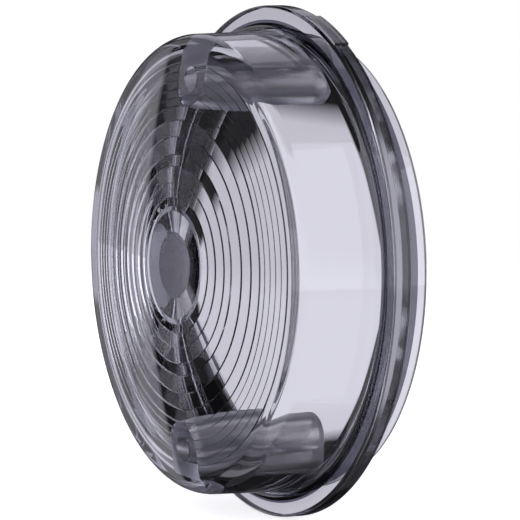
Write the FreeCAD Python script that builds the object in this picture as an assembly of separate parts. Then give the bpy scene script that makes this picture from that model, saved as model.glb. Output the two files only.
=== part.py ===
"""Indicator lens: a round clear plastic lens cup for a vehicle lamp, one injection-moulded piece.

Millimetres. The lens axis is Y, the domed face looks toward -Y and +Z is the top. The origin is
midway between the two screw bosses, in the plane of their ends, where they sit on the lamp body.
"""
import FreeCAD, Part
import math
import os

from FreeCAD import Vector

# Shell
body_radius = 33.0           # outside of the wall, at the front
wall_draft = 0.35            # how much wider the wall is at its rear
wall = 2.3                   # thickness of the side wall
plate = 2.35                 # thickness of the front plate
dome_radius = 160.0          # outside of the front plate
front_round = 2.4            # outer edge between the dome and the wall
inner_round = 1.1            # inner corner between the plate and the wall
dome_to_ends = 24.1          # from the middle of the dome to the plane of the boss ends

# Flange that rests on the gasket, and the spigot behind it
flange_width = 3.65          # how far the flange stands out from the wall
flange_thickness = 2.8
flange_to_ends = 4.9         # from the gasket side of the flange to the plane of the boss ends
flange_root_round = 1.5
flange_chamfer = 0.3
spigot_wall = 1.25           # thickness of the spigot
spigot_proud = 0.3           # how far the spigot stands out past the boss ends
spigot_lead_in = 0.6         # chamfer that leads the spigot into the lamp body

# Gate mark: the low land on the flange's edge where the plastic was let in
gate_height = 0.35
gate_centre_deg = 21.5       # from the top, toward +X
gate_width_deg = 14.0

# Optics inside the front plate
eye_radius = 4.7             # flat disc in the middle
eye_height = 0.45
eye_flank = 3.0              # width of the slope round the disc
eye_land = 0.7               # plain ring between that slope and the first ring
coarse_shares = [1.3, 2.05, 2.25, 1.75, 2.5, 2.3, 2.0]   # widths of the coarse rings, as shares
coarse_step = 0.42           # height of each riser
fine_pitch = 1.22
fine_count = 5
fine_step = 0.26
optics_margin = 2.05         # from the last ring to the inside of the wall
riser_draft_deg = 4.0

# Screw bosses, one at the top and one at the bottom
boss_inset = 4.3             # from the inside of the wall to the middle of a screw hole
boss_width = 7.7
screw_hole = 3.7
screw_hole_floor = 2.3       # plastic left in front of the blind hole
screw_hole_chamfer = 0.4

face_y = -dome_to_ends
flange_back_y = -flange_to_ends
flange_front_y = flange_back_y - flange_thickness
bore_radius = body_radius - wall
bore_mouth_radius = bore_radius + wall_draft
wall_rear_radius = body_radius + wall_draft
flange_radius = wall_rear_radius + flange_width
spigot_radius = bore_mouth_radius + spigot_wall
boss_reach = bore_radius - boss_inset
lens_axis = Vector(0, 1, 0)


def point(radius, y):
    """A point of the half section: distance from the lens axis, and place along it."""
    return Vector(radius, y, 0)


def dome_y(radius, depth=0.0):
    """Place along the axis of the sphere that lies depth behind the outside of the dome."""
    sphere = dome_radius - depth
    return face_y + depth + sphere - math.sqrt(sphere ** 2 - radius ** 2)


def plate_inside_y(radius):
    return dome_y(radius, plate)


def optic_steps():
    """Each ring as the radius where its slope starts, its height, and its riser's radius."""
    first = eye_radius + eye_flank + eye_land
    last = bore_radius - optics_margin
    fine_first = last - fine_count * fine_pitch
    share = (fine_first - first) / sum(coarse_shares)
    steps = []
    start = first
    for width in coarse_shares:
        steps.append((start, coarse_step, start + width * share))
        start += width * share
    for i in range(fine_count):
        steps.append((fine_first + i * fine_pitch, fine_step, fine_first + (i + 1) * fine_pitch))
    return steps


def optic_points():
    """The inner side of the plate from the axis outward: the eye, then one saw tooth a ring.

    Each tooth climbs away from the axis and drops at its riser, which faces the wall.
    """
    eye_y = plate_inside_y(0) + eye_height
    flank_end = eye_radius + eye_flank
    points = [point(0, eye_y), point(eye_radius, eye_y), point(flank_end, plate_inside_y(flank_end))]
    for start, height, riser in optic_steps():
        lean = height * math.tan(math.radians(riser_draft_deg))
        points.append(point(start, plate_inside_y(start)))
        points.append(point(riser - lean, plate_inside_y(riser) + height))
    points.append(point(riser, plate_inside_y(riser)))
    return points


def corner_arc(before, corner, after, radius):
    """Start, middle and end of the arc that rounds the corner between two straight runs."""
    back = (before - corner).normalize()
    ahead = (after - corner).normalize()
    half = back.getAngle(ahead) / 2
    middle_line = (back + ahead).normalize()
    start = corner + back * (radius / math.tan(half))
    end = corner + ahead * (radius / math.tan(half))
    middle = corner + middle_line * (radius / math.sin(half) - radius)
    return start, middle, end


def dome_corner_arc(sphere, wall_from, wall_to, radius):
    """Start, middle and end of the arc inside a sphere about the dome's centre and a wall.

    Its centre lies radius inside both. The arc starts on the sphere and ends on the wall.
    """
    dome_centre = point(0, face_y + dome_radius)
    along = (wall_to - wall_from).normalize()
    outward = Vector(along.y, -along.x, 0)
    base = wall_from - outward * radius - dome_centre
    slant = base.dot(along)
    run = slant + math.sqrt(slant ** 2 - base.dot(base) + (sphere - radius) ** 2)
    centre = dome_centre + base - along * run
    to_sphere = (centre - dome_centre).normalize()
    to_middle = (to_sphere + outward).normalize()
    return centre + to_sphere * radius, centre + to_middle * radius, centre + outward * radius


def section():
    """The half section of the turned shell, as one closed face."""
    bore_foot = point(bore_radius, plate_inside_y(bore_radius))
    bore_mouth = point(bore_mouth_radius, spigot_proud)
    wall_foot = point(body_radius, dome_y(body_radius))
    flange_root = point(wall_rear_radius, flange_front_y)
    flange_front = point(flange_radius - flange_chamfer, flange_front_y)
    inner_corner = dome_corner_arc(dome_radius - plate, bore_foot, bore_mouth, inner_round)
    root = corner_arc(flange_front, flange_root, wall_foot, flange_root_round)
    front_corner = dome_corner_arc(dome_radius, wall_foot, flange_root, front_round)
    rear = [
        bore_mouth,
        point(spigot_radius - spigot_lead_in / 2, spigot_proud),
        point(spigot_radius, spigot_proud - spigot_lead_in),
        point(spigot_radius, flange_back_y),
        point(flange_radius - flange_chamfer, flange_back_y),
        point(flange_radius, flange_back_y - flange_chamfer),
        point(flange_radius, flange_front_y + flange_chamfer),
        flange_front,
    ]
    optics = optic_points()
    last_optic = optics[-1]
    land_middle = (last_optic.x + inner_corner[0].x) / 2
    dome_middle = front_corner[0].x / 2
    edges = straight_runs(optics)
    edges.append(arc(last_optic, point(land_middle, plate_inside_y(land_middle)), inner_corner[0]))
    edges.append(arc(*inner_corner))
    edges += straight_runs([inner_corner[2]] + rear + [root[0]])
    edges.append(arc(*root))
    edges.append(Part.makeLine(root[2], front_corner[2]))
    edges.append(arc(front_corner[2], front_corner[1], front_corner[0]))
    edges.append(arc(front_corner[0], point(dome_middle, dome_y(dome_middle)), point(0, face_y)))
    edges.append(Part.makeLine(point(0, face_y), optics[0]))
    return Part.Face(Part.Wire(edges))


def arc(start, middle, end):
    return Part.Arc(start, middle, end).toShape()


def straight_runs(points):
    return [Part.makeLine(a, b) for a, b in zip(points, points[1:])]


def shell():
    return section().revolve(Vector(0, 0, 0), lens_axis, 360)


def boss(side):
    """A post with a round tip that grows out of the plate and the wall; side is 1 or -1."""
    half = boss_width / 2
    start_y = dome_y(boss_reach) + plate / 2
    merge = (bore_mouth_radius + spigot_radius) / 2
    left_foot = Vector(-half, start_y, side * merge)
    left_top = Vector(-half, start_y, side * boss_reach)
    tip = Vector(0, start_y, side * (boss_reach - half))
    right_top = Vector(half, start_y, side * boss_reach)
    right_foot = Vector(half, start_y, side * merge)
    outline = [
        Part.makeLine(left_foot, left_top),
        arc(left_top, tip, right_top),
        Part.makeLine(right_top, right_foot),
        Part.makeLine(right_foot, left_foot),
    ]
    return Part.Face(Part.Wire(outline)).extrude(Vector(0, -start_y, 0))


def screw_hole_cutter(side):
    """Blind hole for a self-tapping screw, with a chamfered mouth."""
    radius = screw_hole / 2
    floor_y = dome_y(boss_reach) + screw_hole_floor
    mouth = Vector(0, 0, side * boss_reach)
    inward = Vector(0, -1, 0)
    hole = Part.makeCylinder(radius, -floor_y, mouth, inward)
    chamfer = Part.makeCone(radius + screw_hole_chamfer, radius, screw_hole_chamfer, mouth, inward)
    return hole.fuse(chamfer)


def gate_land():
    """The low raised land on the flange's edge, as wide as the flange between its chamfers."""
    inner = flange_radius - flange_chamfer
    outer = flange_radius + gate_height
    front = flange_front_y + flange_chamfer
    back = flange_back_y - flange_chamfer
    corners = [point(inner, front), point(outer, front), point(outer, back), point(inner, back)]
    profile = Part.Face(Part.makePolygon(corners + corners[:1]))
    start_deg = gate_centre_deg - gate_width_deg / 2 - 90
    profile.rotate(Vector(0, 0, 0), lens_axis, start_deg)
    return profile.revolve(Vector(0, 0, 0), lens_axis, gate_width_deg)


def indicator_lens():
    moulding = shell().fuse([boss(1), boss(-1), gate_land()])
    moulding = moulding.cut([screw_hole_cutter(1), screw_hole_cutter(-1)])
    return moulding.removeSplitter().Solids[0]


os.makedirs("parts", exist_ok=True)
lens = indicator_lens()
lens.exportStep("parts/indicator_lens.step")
box = lens.optimalBoundingBox()
print("indicator_lens valid", lens.isValid(), "solids", len(lens.Solids), "faces", len(lens.Faces))
print("size", round(box.XLength, 2), round(box.YLength, 2), round(box.ZLength, 2))
print("volume cm3", round(lens.Volume / 1000, 3), "screws apart", round(2 * boss_reach, 2))
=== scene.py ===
# %% [markdown]
# # An indicator lens in clear plastic
# The object is one injection-moulded cup: a domed face with rings on its inner side, a side wall, a
# flange and a spigot that fit a lamp body, and two posts for screws. It is clear, so nearly all of its
# look is refraction. That decides how it is made here: one closed, exact surface with the true wall
# thickness, because light bends at each side of each wall.

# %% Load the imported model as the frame
import math

import bmesh
import bpy
import numpy as np
from mathutils import Matrix


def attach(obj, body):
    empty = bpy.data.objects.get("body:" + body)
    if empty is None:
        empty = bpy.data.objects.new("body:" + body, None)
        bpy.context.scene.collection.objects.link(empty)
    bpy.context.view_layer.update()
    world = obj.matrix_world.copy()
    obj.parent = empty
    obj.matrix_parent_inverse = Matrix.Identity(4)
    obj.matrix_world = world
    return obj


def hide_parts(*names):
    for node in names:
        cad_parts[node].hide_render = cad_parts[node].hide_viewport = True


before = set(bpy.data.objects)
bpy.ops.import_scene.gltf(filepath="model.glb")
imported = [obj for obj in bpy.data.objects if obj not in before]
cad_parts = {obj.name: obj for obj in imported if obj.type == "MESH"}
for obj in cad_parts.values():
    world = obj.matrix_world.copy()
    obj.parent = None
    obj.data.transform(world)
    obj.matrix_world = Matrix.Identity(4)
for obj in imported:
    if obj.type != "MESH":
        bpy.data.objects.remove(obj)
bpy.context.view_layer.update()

MM = 0.001
NODE = "indicator_lens"

# %% [markdown]
# ## The sizes
# The scene's lens has the same sizes as the solid that it stands for. They are in millimetres. The
# lens axis is Y, the dome looks toward -Y, and y = 0 is the plane where the screw posts end.

# %% Sizes of the moulding
BODY_RADIUS, WALL_DRAFT, WALL, PLATE = 33.0, 0.35, 2.3, 2.35
DOME_RADIUS, DOME_TO_ENDS, FRONT_ROUND, INNER_ROUND = 160.0, 24.1, 2.4, 1.1
FLANGE_RADIUS, FLANGE_THICKNESS, FLANGE_TO_ENDS = 37.0, 2.8, 4.9
FLANGE_ROOT_ROUND, FLANGE_CHAMFER = 1.5, 0.3
SPIGOT_RADIUS, SPIGOT_PROUD, SPIGOT_LEAD_IN = 32.3, 0.3, 0.6
EYE_RADIUS, EYE_HEIGHT, EYE_FOOT_RADIUS = 4.7, 0.45, 7.7
RINGS_START, COARSE_STEP = 8.4, 0.42
COARSE_RISERS = [9.7, 11.75, 14.0, 15.75, 18.25, 20.55, 22.55]
FINE_PITCH, FINE_COUNT, FINE_STEP = 1.22, 5, 0.26
RISER_DRAFT = math.tan(math.radians(4.0))
BOSS_SPACING, BOSS_WIDTH, BOSS_END_ROUND = 52.8, 7.7, 0.5
SCREW_HOLE, SCREW_HOLE_FLOOR, SCREW_HOLE_CHAMFER = 3.7, 2.3, 0.4
GATE_HEIGHT, GATE_CENTRE_DEG, GATE_WIDTH_DEG = 0.35, 21.5, 14.0
EDGE_SOFTNESS = 0.06   # how round the edges of the saw teeth are

FACE_Y = -DOME_TO_ENDS
FLANGE_BACK_Y = -FLANGE_TO_ENDS
FLANGE_FRONT_Y = FLANGE_BACK_Y - FLANGE_THICKNESS
BORE_RADIUS = BODY_RADIUS - WALL
DOME_CENTRE_Y = FACE_Y + DOME_RADIUS


def dome_y(radius, depth=0.0):
    """Place along the axis of a sphere about the dome's centre, depth inside the dome: the centre
    less the root of the sphere's radius squared minus the distance from the axis squared."""
    return DOME_CENTRE_Y - np.sqrt((DOME_RADIUS - depth) ** 2 - np.square(radius))


print("plate", PLATE, "mm, dome stands out", round(float(dome_y(BODY_RADIUS) - FACE_Y), 2), "mm")

# %% [markdown]
# ## The half section
# A turned form is a profile carried round an axis. The profile here is a closed line in (distance
# from the axis, place along the axis). Its straight stretches meet in corners, and a moulded corner is
# never quite sharp: each one gets a small curve, which catches the light as the real edge does.

# %% Helpers for a profile line
CORNER_SHARE = 0.42   # the most that one corner's curve takes of a stretch beside it


def soften(corners, radii, steps=3):
    """Rounds each corner of a line. A corner P with neighbours along unit directions u and v becomes
    the curve (1-s)^2 (P + t u) + 2 s (1-s) P + s^2 (P + t v), with t the tangent length of its radius."""
    corners = np.asarray(corners, float)
    radii = np.broadcast_to(np.asarray(radii, float), len(corners) - 2)
    before, here, after = corners[:-2], corners[1:-1], corners[2:]
    u, v = before - here, after - here
    u_length = np.linalg.norm(u, axis=1, keepdims=True)
    v_length = np.linalg.norm(v, axis=1, keepdims=True)
    u, v = u / u_length, v / v_length
    half_turn = np.arccos(np.clip(-(u * v).sum(1), -1, 1)) / 2
    longest = CORNER_SHARE * np.minimum(u_length, v_length)[:, 0]
    reach = np.minimum(radii * np.tan(half_turn), longest)[:, None]
    s = np.linspace(0, 1, steps + 1)[None, :, None]
    start, end = (here + reach * u)[:, None], (here + reach * v)[:, None]
    return (1 - s) ** 2 * start + 2 * s * (1 - s) * here[:, None] + s ** 2 * end


def with_supports(corners, radii, steps=3, support=0.5):
    """The softened line, with one more point on each straight stretch, support times the corner's
    reach away from each curve, so that smooth shading stays true on the stretch between."""
    curve = soften(corners, radii, steps)
    lead_in = curve[:, :1] + support * (curve[:, :1] - curve[:, 1:2])
    lead_out = curve[:, -1:] + support * (curve[:, -1:] - curve[:, -2:-1])
    inner = np.concatenate([lead_in, curve, lead_out], axis=1).reshape(-1, 2)
    return np.concatenate([np.asarray(corners, float)[:1], inner, np.asarray(corners, float)[-1:]])


def sphere_wall_round(sphere, wall_from, wall_to, radius, steps):
    """The arc that is tangent inside to the circle of radius sphere about the dome's centre, and to
    the straight wall. Its centre lies radius inside both, where those two offsets cross."""
    wall_from, wall_to = np.asarray(wall_from, float), np.asarray(wall_to, float)
    along = (wall_to - wall_from) / np.linalg.norm(wall_to - wall_from)
    outward = np.array([along[1], -along[0]])
    base = wall_from - radius * outward - np.array([0.0, DOME_CENTRE_Y])
    b, c = base @ along, base @ base - (sphere - radius) ** 2
    centre = base - (b + math.sqrt(b * b - c)) * along
    sphere_side = math.atan2(centre[1], centre[0])
    wall_side = math.atan2(outward[1], outward[0])
    angles = np.linspace(sphere_side, wall_side, steps + 1)
    arc = radius * np.stack([np.cos(angles), np.sin(angles)], 1)
    return centre + arc + np.array([0.0, DOME_CENTRE_Y])


# %% The inner side: eye, saw-tooth rings and the bore
fine_risers = COARSE_RISERS[-1] + FINE_PITCH * np.arange(1, FINE_COUNT + 1)
risers = np.concatenate([COARSE_RISERS, fine_risers])
starts = np.concatenate([[RINGS_START], risers[:-1]])
heights = np.concatenate([np.full(len(COARSE_RISERS), COARSE_STEP), np.full(FINE_COUNT, FINE_STEP)])


def plate_inside_y(radius):
    return dome_y(radius, PLATE)


feet = np.stack([starts, plate_inside_y(starts)], 1)
tops = np.stack([risers - heights * RISER_DRAFT, plate_inside_y(risers) + heights], 1)
teeth = np.stack([feet, tops], 1).reshape(-1, 2)
last_foot = np.array([[risers[-1], plate_inside_y(risers[-1])]])
eye = np.array([[0, plate_inside_y(0) + EYE_HEIGHT], [EYE_RADIUS, plate_inside_y(0) + EYE_HEIGHT],
                [EYE_FOOT_RADIUS, plate_inside_y(EYE_FOOT_RADIUS)]])
bore_foot = (BORE_RADIUS, plate_inside_y(BORE_RADIUS))
bore_mouth = (BORE_RADIUS + WALL_DRAFT, SPIGOT_PROUD)
inner_corner = sphere_wall_round(DOME_RADIUS - PLATE, bore_foot, bore_mouth, INNER_ROUND, 8)
optics = with_supports(np.concatenate([eye, teeth, last_foot, inner_corner[:1]]), EDGE_SOFTNESS)
print("rings", len(risers), "points on the optics", len(optics))

# %% The outer side: spigot, flange, wall, front round and dome
wall_foot = (BODY_RADIUS, float(dome_y(BODY_RADIUS)))
wall_end = (BODY_RADIUS + WALL_DRAFT, FLANGE_FRONT_Y)
front_corner = sphere_wall_round(DOME_RADIUS, wall_foot, wall_end, FRONT_ROUND, 14)
rear_corners = [tuple(inner_corner[-1]), bore_mouth,
                (SPIGOT_RADIUS - SPIGOT_LEAD_IN / 2, SPIGOT_PROUD),
                (SPIGOT_RADIUS, SPIGOT_PROUD - SPIGOT_LEAD_IN),
                (SPIGOT_RADIUS, FLANGE_BACK_Y),
                (FLANGE_RADIUS - FLANGE_CHAMFER, FLANGE_BACK_Y),
                (FLANGE_RADIUS, FLANGE_BACK_Y - FLANGE_CHAMFER),
                (FLANGE_RADIUS, FLANGE_FRONT_Y + FLANGE_CHAMFER),
                (FLANGE_RADIUS - FLANGE_CHAMFER, FLANGE_FRONT_Y), wall_end, tuple(front_corner[-1])]
rear_radii = [0.15, 0.35, 0.35, 0.15, 0.3, 0.3, 0.3, 0.3, FLANGE_ROOT_ROUND]   # one a corner
DOME_POINTS = 30
rear = with_supports(rear_corners, rear_radii, steps=6)
dome_radii = np.linspace(front_corner[0, 0], 0, DOME_POINTS)[1:]
dome = np.stack([dome_radii, dome_y(dome_radii)], 1)
section = np.concatenate([optics, inner_corner[1:-1], rear, front_corner[::-1][1:], dome])
print("points in the half section", len(section))

# %% [markdown]
# ## Turning the section
# The section is carried round the axis as one grid. Its two ends lie on the axis, where a ring of
# points would fold into one place, so each end is a single point with a fan of triangles.

# %% Lathe
TURNS = 288   # fine enough that the outline shows no corners at this size


def new_object(name, vertices, faces):
    """A mesh object from places in millimetres and index loops, with faces turned outward."""
    mesh = bpy.data.meshes.new(name)
    mesh.from_pydata((np.asarray(vertices) * MM).tolist(), [], faces)
    mesh.update()
    made = bpy.data.objects.new(name, mesh)
    bpy.context.scene.collection.objects.link(made)
    work = bmesh.new()
    work.from_mesh(mesh)
    bmesh.ops.recalc_face_normals(work, faces=work.faces)
    work.to_mesh(mesh)
    work.free()
    return made


def lathe(name, line):
    """Carries a line of (r, y) round Y: (r cos a, y, r sin a) for each angle a. Its ends are on Y."""
    angles = np.linspace(0, 2 * math.pi, TURNS, endpoint=False)
    middle = line[1:-1]
    ring = np.stack([np.outer(middle[:, 0], np.cos(angles)), np.repeat(middle[:, 1:], TURNS, 1),
                     np.outer(middle[:, 0], np.sin(angles))], 2).reshape(-1, 3)
    poles = np.array([[0, line[0, 1], 0], [0, line[-1, 1], 0]])
    index = np.arange(len(middle) * TURNS).reshape(len(middle), TURNS)
    turned = np.roll(index, -1, 1)
    quads = np.stack([index[:-1], index[1:], turned[1:], turned[:-1]], 2).reshape(-1, 4)
    first, last = len(ring), len(ring) + 1
    start_fan = np.stack([np.full(TURNS, first), index[0], turned[0]], 1)
    end_fan = np.stack([np.full(TURNS, last), turned[-1], index[-1]], 1)
    faces = quads.tolist() + start_fan.tolist() + end_fan.tolist()
    return new_object(name, np.concatenate([ring, poles]), faces)


shell = lathe("shell", section)
print("faces in the shell", len(shell.data.polygons))

# %% [markdown]
# ## Posts, holes and the gate land
# A post has a round tip toward the lens axis and straight sides that run into the wall. It is one
# outline carried along Y, with its rear edge rounded by drawing the outline inward over the last steps.

# %% Outlines carried along the axis


def carried(name, outline, levels, insets, centre):
    """Carries a closed outline in X and Z through levels of y. At each level the outline is drawn
    toward its centre line by that level's inset: place = centre + (outline - centre) (1 - inset / reach)."""
    outline, centre = np.asarray(outline, float), np.asarray(centre, float)
    reach = np.linalg.norm(outline - centre, axis=1, keepdims=True)
    shrunk = [centre + (outline - centre) * (1 - inset / reach) for inset in insets]
    vertices = np.concatenate([np.stack([s[:, 0], np.full(len(s), y), s[:, 1]], 1)
                               for s, y in zip(shrunk, levels)])
    count = len(outline)
    index = np.arange(len(vertices)).reshape(len(levels), count)
    turned = np.roll(index, -1, 1)
    sides = np.stack([index[:-1], index[1:], turned[1:], turned[:-1]], 2).reshape(-1, 4).tolist()
    return new_object(name, vertices, sides + [index[0].tolist(), index[-1].tolist()])


def post(side):
    """Half circle toward the axis, then straight sides out into the wall."""
    half, reach = BOSS_WIDTH / 2, BOSS_SPACING / 2
    merge = (BORE_RADIUS + WALL_DRAFT + SPIGOT_RADIUS) / 2
    swing = np.linspace(0, math.pi, 49)
    outline = np.stack([half * np.cos(swing), reach - half * np.sin(swing)], 1)
    outline = np.concatenate([outline, [[-half, merge], [half, merge]]]) * [1, side]
    start = float(dome_y(reach)) + PLATE / 2
    turn = np.linspace(0, math.pi / 2, 6)
    levels = np.concatenate([[start, -3 * BOSS_END_ROUND], BOSS_END_ROUND * (np.sin(turn) - 1)])
    insets = np.concatenate([[0, 0], BOSS_END_ROUND * (1 - np.cos(turn))])
    return carried("post", outline, levels, insets, [0, side * reach])


def screw_hole(side):
    """A blind round hole that widens over its last stretch and runs out past the post's end."""
    reach, radius = BOSS_SPACING / 2, SCREW_HOLE / 2
    swing = np.linspace(0, 2 * math.pi, 64, endpoint=False)
    outline = np.stack([radius * np.cos(swing), side * reach + radius * np.sin(swing)], 1)
    floor = float(dome_y(reach)) + SCREW_HOLE_FLOOR
    levels = [floor, -SCREW_HOLE_CHAMFER, 0.0, 1.0]
    insets = [0.0, 0.0, -SCREW_HOLE_CHAMFER, -SCREW_HOLE_CHAMFER]
    return carried("screw_hole", outline, levels, insets, [0, side * reach])


def gate_land():
    """A short stretch of a ring: its outline is an arc out and the same arc back, in X and Z."""
    start = math.radians(GATE_CENTRE_DEG - GATE_WIDTH_DEG / 2)
    stop = math.radians(GATE_CENTRE_DEG + GATE_WIDTH_DEG / 2)
    sweep = np.linspace(start, stop, 25)
    arc = np.stack([np.sin(sweep), np.cos(sweep)], 1)
    outer, inner = FLANGE_RADIUS + GATE_HEIGHT, FLANGE_RADIUS - 1.5 * FLANGE_CHAMFER
    outline = np.concatenate([outer * arc, inner * arc[::-1]])
    levels = [FLANGE_FRONT_Y + FLANGE_CHAMFER, FLANGE_BACK_Y - FLANGE_CHAMFER]
    return carried("gate_land", outline, levels, [0, 0], outline.mean(0))


# %% Join and cut
SHARP_DEG = 32.0   # edges that turn more than this are shaded sharp


def boolean(target, tool, operation):
    """Joins or cuts target with tool by the exact solver, and deletes the tool."""
    step = target.modifiers.new(operation, "BOOLEAN")
    step.object, step.operation, step.solver = tool, operation, "EXACT"
    bpy.context.view_layer.update()
    shaped = target.evaluated_get(bpy.context.evaluated_depsgraph_get())
    made = bpy.data.meshes.new_from_object(shaped)
    target.modifiers.clear()
    target.data = made
    bpy.data.objects.remove(tool)


for tool in (post(1), post(-1), gate_land()):
    boolean(shell, tool, "UNION")
for tool in (screw_hole(1), screw_hole(-1)):
    boolean(shell, tool, "DIFFERENCE")

lens = shell
lens.name = NODE + "_clear"
lens.data.shade_smooth()
lens.data.set_sharp_from_angle(angle=math.radians(SHARP_DEG))
work = bmesh.new()
work.from_mesh(lens.data)
open_edges = sum(not edge.is_manifold for edge in work.edges)
triangles = sum(len(face.verts) - 2 for face in work.faces)
print("faces", len(work.faces), "triangles", triangles, "open edges", open_edges)
work.free()

# %% [markdown]
# ## The surface, and painted shade
# The plastic is acrylic with a trace of smoke in it, so the colour lies in the volume: a longer way
# through is a darker one. The surface is polished steel's copy nearly everywhere. The disc in the
# middle, the posts and the flange's edge are satin, as from a blasted mould. A node group finds those
# zones by their place on the object. It also paints shade into the base colour, toward near black,
# where the real lens looks darker than the shape alone makes it here: the disc, the flange's edge, and
# narrow strips at the flange's root and beside its rear edge. This painted shade is a fitted stand-in;
# what makes that shade on the real lens isn't known.

# %% Material
ACRYLIC_IOR = 1.49
# The second colour is painted shade: the near black that the darker zones are mixed toward.
CLEAR, PAINTED_SHADE_COLOUR = (0.98, 0.98, 0.99, 1), (0.04, 0.04, 0.06, 1)
SMOKE, SMOKE_DENSITY = (0.42, 0.42, 0.50, 1), 75.0
SATIN = {"Disc": 0.13, "Posts": 0.3, "Rim": 0.12}
# How far the disc and the flange's edge are mixed toward near black: painted shade.
PAINTED_SHADE_LEVEL = 0.68
DISC_FRONT_Y = FACE_Y + 0.6 * PLATE
RIM_INNER = FLANGE_RADIUS - 0.7 * FLANGE_CHAMFER
POST_HALF, POST_FRONT_Y = BOSS_WIDTH / 2 + 0.05, FACE_Y + 5.2
POST_INNER, POST_OUTER = (BOSS_SPACING - BOSS_WIDTH) / 2 - 0.1, BORE_RADIUS + 0.3
# Strips mixed fully toward near black: painted shade at the flange's root, its edge and the spigot.
PAINTED_SHADE_STRIPS = [   # inner radius, outer radius, front y, back y: flange root, flange edge, spigot
    (33.75, 34.95, -9.3, -7.6),
    (36.75, 37.6, -5.6, -4.95),
    (31.9, 32.6, -4.85, -1.35),
]


def math_node(tree, operation, *values):
    """One Math node; a number goes into its socket and an output is linked to it."""
    node = tree.nodes.new("ShaderNodeMath")
    node.operation = operation
    for socket, value in zip(node.inputs, values):
        if isinstance(value, (int, float)):
            socket.default_value = value
        else:
            tree.links.new(value, socket)
    return node.outputs[0]


def finish_and_shade_group():
    """Two values for each place on the lens. Roughness is the sum over the satin zones of zone times
    its roughness, and 0 outside them. Darker is painted shade: 1 in the painted shade strips,
    PAINTED_SHADE_LEVEL on the disc and the flange's edge, and 0 elsewhere. A zone is 1 inside its
    limits and 0 outside; places are in metres."""
    group = bpy.data.node_groups.new("finish_and_painted_shade", "ShaderNodeTree")
    group.interface.new_socket("Place", in_out="INPUT", socket_type="NodeSocketVector")
    for name in SATIN:
        group.interface.new_socket(name, in_out="INPUT", socket_type="NodeSocketFloat")
    for name in ("Roughness", "Darker"):
        group.interface.new_socket(name, in_out="OUTPUT", socket_type="NodeSocketFloat")
    given, out = group.nodes.new("NodeGroupInput"), group.nodes.new("NodeGroupOutput")
    axes = group.nodes.new("ShaderNodeSeparateXYZ")
    group.links.new(given.outputs["Place"], axes.inputs[0])
    x, y, z = (axes.outputs[k] for k in "XYZ")

    def maths(operation, *values):
        return math_node(group, operation, *values)

    def above(value, limit):
        return maths("GREATER_THAN", value, limit * MM)

    def below(value, limit):
        return maths("LESS_THAN", value, limit * MM)

    def within(value, low, high):
        return below(maths("ABSOLUTE", maths("SUBTRACT", value, (low + high) / 2 * MM)), (high - low) / 2)

    radius = maths("SQRT", maths("ADD", maths("MULTIPLY", x, x), maths("MULTIPLY", z, z)))
    tall = maths("ABSOLUTE", z)
    disc = maths("MULTIPLY", above(y, DISC_FRONT_Y), below(radius, EYE_RADIUS))
    posts = maths("MULTIPLY", below(maths("ABSOLUTE", x), POST_HALF), above(y, POST_FRONT_Y))
    posts = maths("MULTIPLY", posts, above(tall, POST_INNER))
    posts = maths("MULTIPLY", posts, below(tall, POST_OUTER))
    rim = above(radius, RIM_INNER)
    rough = 0.0
    for zone, name in ((disc, "Disc"), (posts, "Posts"), (rim, "Rim")):
        rough = maths("ADD", maths("MULTIPLY", zone, given.outputs[name]), rough)
    group.links.new(rough, out.inputs["Roughness"])
    # Painted shade: the disc, the flange's edge and the strips go toward near black.
    darker = maths("MULTIPLY", maths("MAXIMUM", disc, rim), PAINTED_SHADE_LEVEL)
    for inner, outer, front, back in PAINTED_SHADE_STRIPS:
        strip = maths("MULTIPLY", within(radius, inner, outer), within(y, front, back))
        darker = maths("MAXIMUM", darker, strip)
    group.links.new(darker, out.inputs["Darker"])
    return group


def clear_plastic():
    """Clear acrylic: full transmission, smoke in the volume, satin zones and painted shade."""
    material = bpy.data.materials.new("clear_plastic")
    material.use_nodes = True
    tree = material.node_tree
    nodes, links = tree.nodes, tree.links
    shader = nodes["Principled BSDF"]
    shader.inputs["IOR"].default_value = ACRYLIC_IOR
    shader.inputs["Transmission Weight"].default_value = 1.0
    place = nodes.new("ShaderNodeTexCoord")
    finish_and_shade = nodes.new("ShaderNodeGroup")
    finish_and_shade.node_tree = finish_and_shade_group()
    links.new(place.outputs["Object"], finish_and_shade.inputs["Place"])
    for name, roughness in SATIN.items():
        finish_and_shade.inputs[name].default_value = roughness
    links.new(finish_and_shade.outputs["Roughness"], shader.inputs["Roughness"])
    # The base colour is mixed toward near black by the painted shade.
    colour_node = nodes.new("ShaderNodeMix")
    colour_node.data_type = "RGBA"
    colour_node.inputs["A"].default_value = CLEAR
    colour_node.inputs["B"].default_value = PAINTED_SHADE_COLOUR
    links.new(finish_and_shade.outputs["Darker"], colour_node.inputs["Factor"])
    links.new(colour_node.outputs["Result"], shader.inputs["Base Color"])
    smoke = nodes.new("ShaderNodeVolumeAbsorption")
    smoke.inputs["Color"].default_value = SMOKE
    smoke.inputs["Density"].default_value = SMOKE_DENSITY
    links.new(smoke.outputs["Volume"], nodes["Material Output"].inputs["Volume"])
    return material


lens.data.materials.clear()
lens.data.materials.append(clear_plastic())
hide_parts(NODE)
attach(lens, "root")
print("satin zones", SATIN, "dark strips", len(PAINTED_SHADE_STRIPS))

# %% [markdown]
# ## The camera
# The ellipses of the flange, the wall and the rings give the angle to the lens axis. Their drift from
# one another gives the distance: they hardly change in size with depth, so the camera is far away
# with a long lens.

# %% Camera
CAMERA_AZIMUTH, CAMERA_ELEVATION, CAMERA_ROLL = 61.91, 6.597, 1.234
CAMERA_DISTANCE = 652.0
CAMERA_LENS, SENSOR = 315.0, 36.0
CAMERA_RIGHT, CAMERA_UP = 10.62, 0.675
AIM = np.array([0.0, FACE_Y + 3.0, 0.0])


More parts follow.
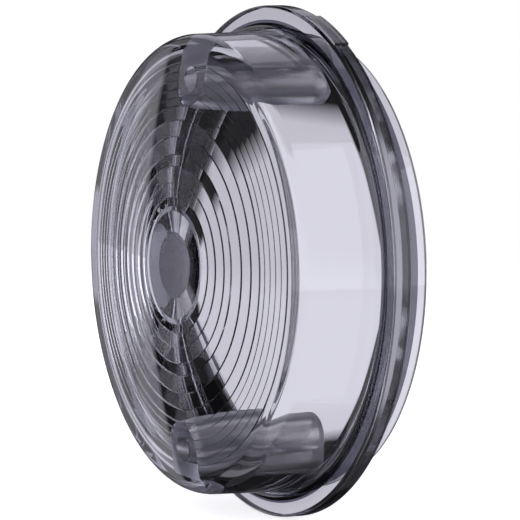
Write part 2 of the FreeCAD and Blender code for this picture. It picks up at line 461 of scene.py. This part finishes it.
def place_camera():
    """Columns of the camera's matrix are its right, up and back directions, and its place."""
    a, e, roll = (math.radians(v) for v in (CAMERA_AZIMUTH, CAMERA_ELEVATION, CAMERA_ROLL))
    back = np.array([math.sin(a) * math.cos(e), -math.cos(a) * math.cos(e), math.sin(e)])
    level = np.array([math.cos(a), math.sin(a), 0.0])
    upright = np.cross(back, level)
    right = math.cos(roll) * level + math.sin(roll) * upright
    up = -math.sin(roll) * level + math.cos(roll) * upright
    place = AIM + CAMERA_DISTANCE * back + CAMERA_RIGHT * right + CAMERA_UP * up
    data = bpy.data.cameras.new("camera")
    data.lens, data.sensor_width = CAMERA_LENS, SENSOR
    data.clip_start, data.clip_end = 0.01, 10.0
    camera = bpy.data.objects.new("camera", data)
    bpy.context.scene.collection.objects.link(camera)
    matrix = np.eye(4)
    matrix[:3, 0], matrix[:3, 1], matrix[:3, 2], matrix[:3, 3] = right, up, back, place * MM
    camera.matrix_world = Matrix(matrix.tolist())
    bpy.context.scene.camera = camera
    print("camera in mm", np.round(place, 1).tolist())


place_camera()

# %% [markdown]
# ## The studio
# Clear plastic shows what stands round it, bent and mirrored, so the studio is drawn all round: soft
# panels on a dark room. Each panel has a middle, a size and a level. Its turn is measured round the
# lens from the line straight away from the camera, positive to the camera's right, and its height from
# the horizon. The card behind the lens is what shows through the wall. The panel behind the camera
# lights the backs of the teeth, and at 2.1 it is brighter than white. What the camera sees directly is
# plain white, but the plastic shows the panels and not that white.

# %% World
VIEW_LINE_DEG = 90.0 + CAMERA_AZIMUTH
SOFTBOXES = [   # name, turn and height of the middle, width, tall (all in degrees), level
    ("card behind, upper half", 9.0, -5.0, 46.0, 3.8, 0.66),
    ("card behind, lower half", 9.0, -9.3, 46.0, 4.8, 0.76),
    ("left fill, near", -22.0, -7.0, 16.0, 46.0, 0.10),
    ("left fill, far", -37.0, -4.0, 14.0, 56.0, 0.50),
    ("left softbox", -47.0, -4.0, 6.0, 56.0, 1.0),
    ("right softbox", 53.0, 0.0, 42.0, 70.0, 0.55),
    ("overhead softbox", 0.0, 33.0, 50.0, 34.0, 0.75),
    ("front softbox", 180.0, 25.0, 150.0, 64.0, 2.1),
    ("pale floor in front", 180.0, -48.5, 150.0, 83.0, 0.95),
    ("left wing", -92.0, 0.0, 36.0, 120.0, 0.25),
    ("right wing", 90.0, 0.0, 32.0, 120.0, 0.3),
    ("pale floor below", 0.0, -70.0, 210.0, 40.0, 0.18),
]
PLACES = ("Middle Turn", "Middle Height", "Width", "Tall", "Level")
STUDIO_DARK = 0.012
STUDIO_TINT = (0.985, 0.97, 1.08)


def softbox_group():
    """The light of one panel: its level inside it and 0 outside, with an edge one degree soft. For
    each direction, room = half the size less the distance from the middle, and the light is level
    times clamp(room + 0.5) in turn times the same in height."""
    group = bpy.data.node_groups.new("softbox", "ShaderNodeTree")
    for name in ("Turn", "Height") + PLACES:
        group.interface.new_socket(name, in_out="INPUT", socket_type="NodeSocketFloat")
    group.interface.new_socket("Light", in_out="OUTPUT", socket_type="NodeSocketFloat")
    given, out = group.nodes.new("NodeGroupInput").outputs, group.nodes.new("NodeGroupOutput")

    def maths(operation, *values):
        return math_node(group, operation, *values)

    turn_off = maths("WRAP", maths("SUBTRACT", given["Turn"], given["Middle Turn"]), 180.0, -180.0)
    height_off = maths("SUBTRACT", given["Height"], given["Middle Height"])
    light = given["Level"]
    for off, size in ((turn_off, "Width"), (height_off, "Tall")):
        room = maths("SUBTRACT", maths("MULTIPLY", given[size], 0.5), maths("ABSOLUTE", off))
        inside = maths("MINIMUM", maths("MAXIMUM", maths("ADD", room, 0.5), 0.0), 1.0)
        light = maths("MULTIPLY", light, inside)
    group.links.new(light, out.inputs["Light"])
    return group


def studio_world():
    """The sum of all panels and the dark room, tinted; plain white where the camera looks at it."""
    world = bpy.data.worlds.new("studio")
    world.use_nodes = True
    tree = world.node_tree
    nodes, links = tree.nodes, tree.links

    def maths(operation, *values):
        return math_node(tree, operation, *values)

    place = nodes.new("ShaderNodeTexCoord")
    axes = nodes.new("ShaderNodeSeparateXYZ")
    links.new(place.outputs["Generated"], axes.inputs[0])
    azimuth = maths("DEGREES", maths("ARCTAN2", axes.outputs["Y"], axes.outputs["X"]))
    turn = maths("SUBTRACT", VIEW_LINE_DEG, azimuth)
    height = maths("DEGREES", maths("ARCSINE", axes.outputs["Z"]))
    group = softbox_group()
    light = STUDIO_DARK
    for name, *values in SOFTBOXES:
        box = nodes.new("ShaderNodeGroup")
        box.node_tree, box.label = group, name
        links.new(turn, box.inputs["Turn"])
        links.new(height, box.inputs["Height"])
        for socket, value in zip(PLACES, values):
            box.inputs[socket].default_value = value
        light = maths("ADD", box.outputs["Light"], light)
    seen = nodes.new("ShaderNodeLightPath").outputs["Is Camera Ray"]
    colour_node = nodes.new("ShaderNodeCombineColor")
    for channel, hue in zip(("Red", "Green", "Blue"), STUDIO_TINT):
        links.new(maths("MAXIMUM", maths("MULTIPLY", light, hue), seen), colour_node.inputs[channel])
    links.new(colour_node.outputs[0], nodes["Background"].inputs["Color"])
    bpy.context.scene.world = world
    print("panels in the studio", len(SOFTBOXES))


studio_world()

# %% [markdown]
# ## The floor
# The lens stands on its flange's edge, over a white floor with a faint soft shadow. Most of the floor's
# white is its own glow, so that it meets the white background without an edge, and the shadow is faint
# for the same reason. Light on its way through the plastic passes the floor and meets the studio's
# panels instead, so the floor isn't seen through the lens.

# %% Floor
FLOOR_RADIUS, FLOOR_POINTS = 320.0, 96
FLOOR_COLOUR, FLOOR_GLOW = (0.8, 0.8, 0.8, 1), 0.72


def floor_material():
    """Matt white plus a glow for what the camera sees directly, and clear for all other light."""
    material = bpy.data.materials.new("pale_floor")
    material.use_nodes = True
    nodes, links = material.node_tree.nodes, material.node_tree.links
    nodes.clear()
    matt, glow = nodes.new("ShaderNodeBsdfDiffuse"), nodes.new("ShaderNodeEmission")
    clear, seen = nodes.new("ShaderNodeBsdfTransparent"), nodes.new("ShaderNodeLightPath")
    both, choose = nodes.new("ShaderNodeAddShader"), nodes.new("ShaderNodeMixShader")
    out = nodes.new("ShaderNodeOutputMaterial")
    matt.inputs["Color"].default_value = FLOOR_COLOUR
    glow.inputs["Strength"].default_value = FLOOR_GLOW
    links.new(matt.outputs[0], both.inputs[0])
    links.new(glow.outputs[0], both.inputs[1])
    links.new(seen.outputs["Is Camera Ray"], choose.inputs[0])
    links.new(clear.outputs[0], choose.inputs[1])
    links.new(both.outputs[0], choose.inputs[2])
    links.new(choose.outputs[0], out.inputs["Surface"])
    return material


def pale_floor():
    """One round face at the height of the flange's lowest point: (r cos a, r sin a) for each angle a."""
    swing = np.linspace(0, 2 * math.pi, FLOOR_POINTS, endpoint=False)
    x, y = FLOOR_RADIUS * np.cos(swing), FLOOR_RADIUS * np.sin(swing)
    rim = np.stack([x, y, np.full(FLOOR_POINTS, -FLANGE_RADIUS)], 1)
    mesh = bpy.data.meshes.new("floor")
    mesh.from_pydata((rim * MM).tolist(), [], [list(range(FLOOR_POINTS))])
    mesh.materials.append(floor_material())
    floor = bpy.data.objects.new("floor", mesh)
    bpy.context.scene.collection.objects.link(floor)


pale_floor()
scene = bpy.context.scene
scene.view_settings.view_transform = "Standard"
print("floor at", -FLANGE_RADIUS, "mm")
